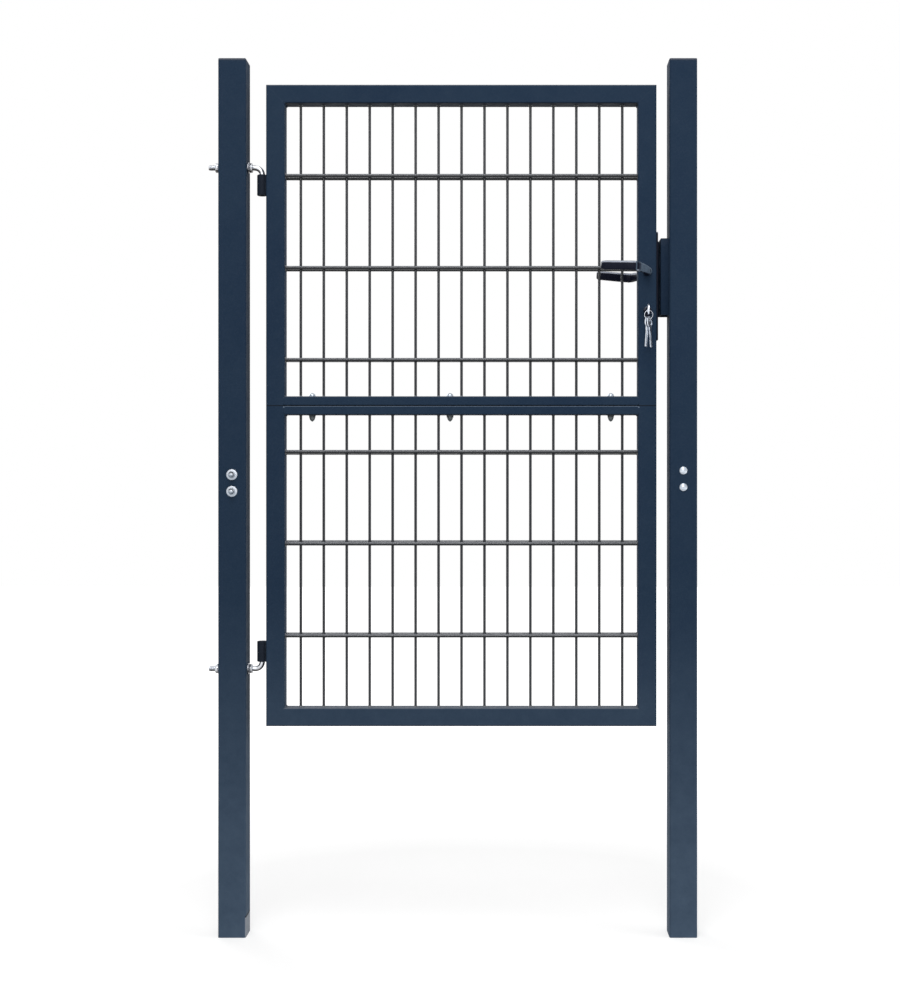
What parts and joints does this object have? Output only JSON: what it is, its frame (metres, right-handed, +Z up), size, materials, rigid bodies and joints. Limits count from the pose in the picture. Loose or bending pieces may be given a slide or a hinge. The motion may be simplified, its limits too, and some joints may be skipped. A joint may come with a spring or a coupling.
{
  "type": "fence gate",
  "caption": "Single-leaf fence gate of twin-wire mat in a square tube frame, hung on hook hinges between two square posts, with levers, lock and keys.",
  "frame": {"origin": "centre of the hinge post's foot", "axes": "+Z up along the posts, +X from the hinge post to the latch post, -Y is the front"},
  "size_m": [1.06, 0.207, 1.9],
  "materials": {
    "coat": "anthracite blue powder coat, satin",
    "wire_coat": "dark grey powder coat, satin",
    "cap_plastic": "matt, in the posts' colour",
    "zinc": "bright zinc plate",
    "nickel": "nickel plate",
    "black_coat": "black powder coat, satin"
  },
  "bodies": {
    "posts": {"hinge_post": "coat", "latch_post": "coat", "hinge_post_cap": "cap_plastic", "latch_post_cap": "cap_plastic", "hinge_post_bolts": "zinc", "latch_post_bolts": "zinc", "upper_hinge_hook": "zinc", "lower_hinge_hook": "zinc", "upper_hinge_nuts": "zinc", "lower_hinge_nuts": "zinc", "keep": "coat"},
    "leaf": {"hinge_stile_upper": "coat", "lock_stile_upper": "coat", "top_rail": "coat", "mid_rail_upper": "coat", "mat_upper": "wire_coat", "hinge_stile_lower": "coat", "lock_stile_lower": "coat", "bottom_rail": "coat", "mid_rail_lower": "coat", "mat_lower": "wire_coat", "upper_hinge_barrel": "coat", "lower_hinge_barrel": "coat", "rail_bolts": "zinc", "rail_nuts": "zinc", "lock_case": "zinc", "lock_forend": "black_coat", "forend_screws": "zinc", "latch_bolt": "nickel", "dead_bolt": "nickel", "lock_cylinder": "black_coat"},
    "levers": {"front_lever": "black_coat", "back_lever": "black_coat", "lever_spindle": "zinc"},
    "key": {"cylinder_plug": "black_coat", "key_in_lock": "nickel", "key_ring": "nickel"},
    "loose_keys": {"loose_key_left": "nickel", "loose_key_right": "nickel"}
  },
  "joints": [
    {"name": "gate_swing", "type": "hinge", "parent": "posts", "child": "leaf", "pos_m": [0.061, 0, 0.578], "axis": [0, 0, -1], "range_deg": [0, 90]},
    {"name": "lever_turn", "type": "hinge", "parent": "leaf", "child": "levers", "pos_m": [0.898, 0, 1.44], "axis": [0, -1, 0], "range_deg": [0, 40], "stiffness_Nm_per_rad": 1.2, "springref_deg": -20.05},
    {"name": "key_turn", "type": "hinge", "parent": "leaf", "child": "key", "pos_m": [0.898, 0, 1.355], "axis": [0, -1, 0], "range_deg": [-90, 90]},
    {"name": "loose_keys_hang", "type": "hinge", "parent": "key", "child": "loose_keys", "pos_m": [0.898, -0.05, 1.3433], "axis": [0, -1, 0], "range_deg": [-90, 90]}
  ],
  "couplings": [
    {"joint": "loose_keys_hang", "follows": "key_turn", "ratio": -1}
  ]
}
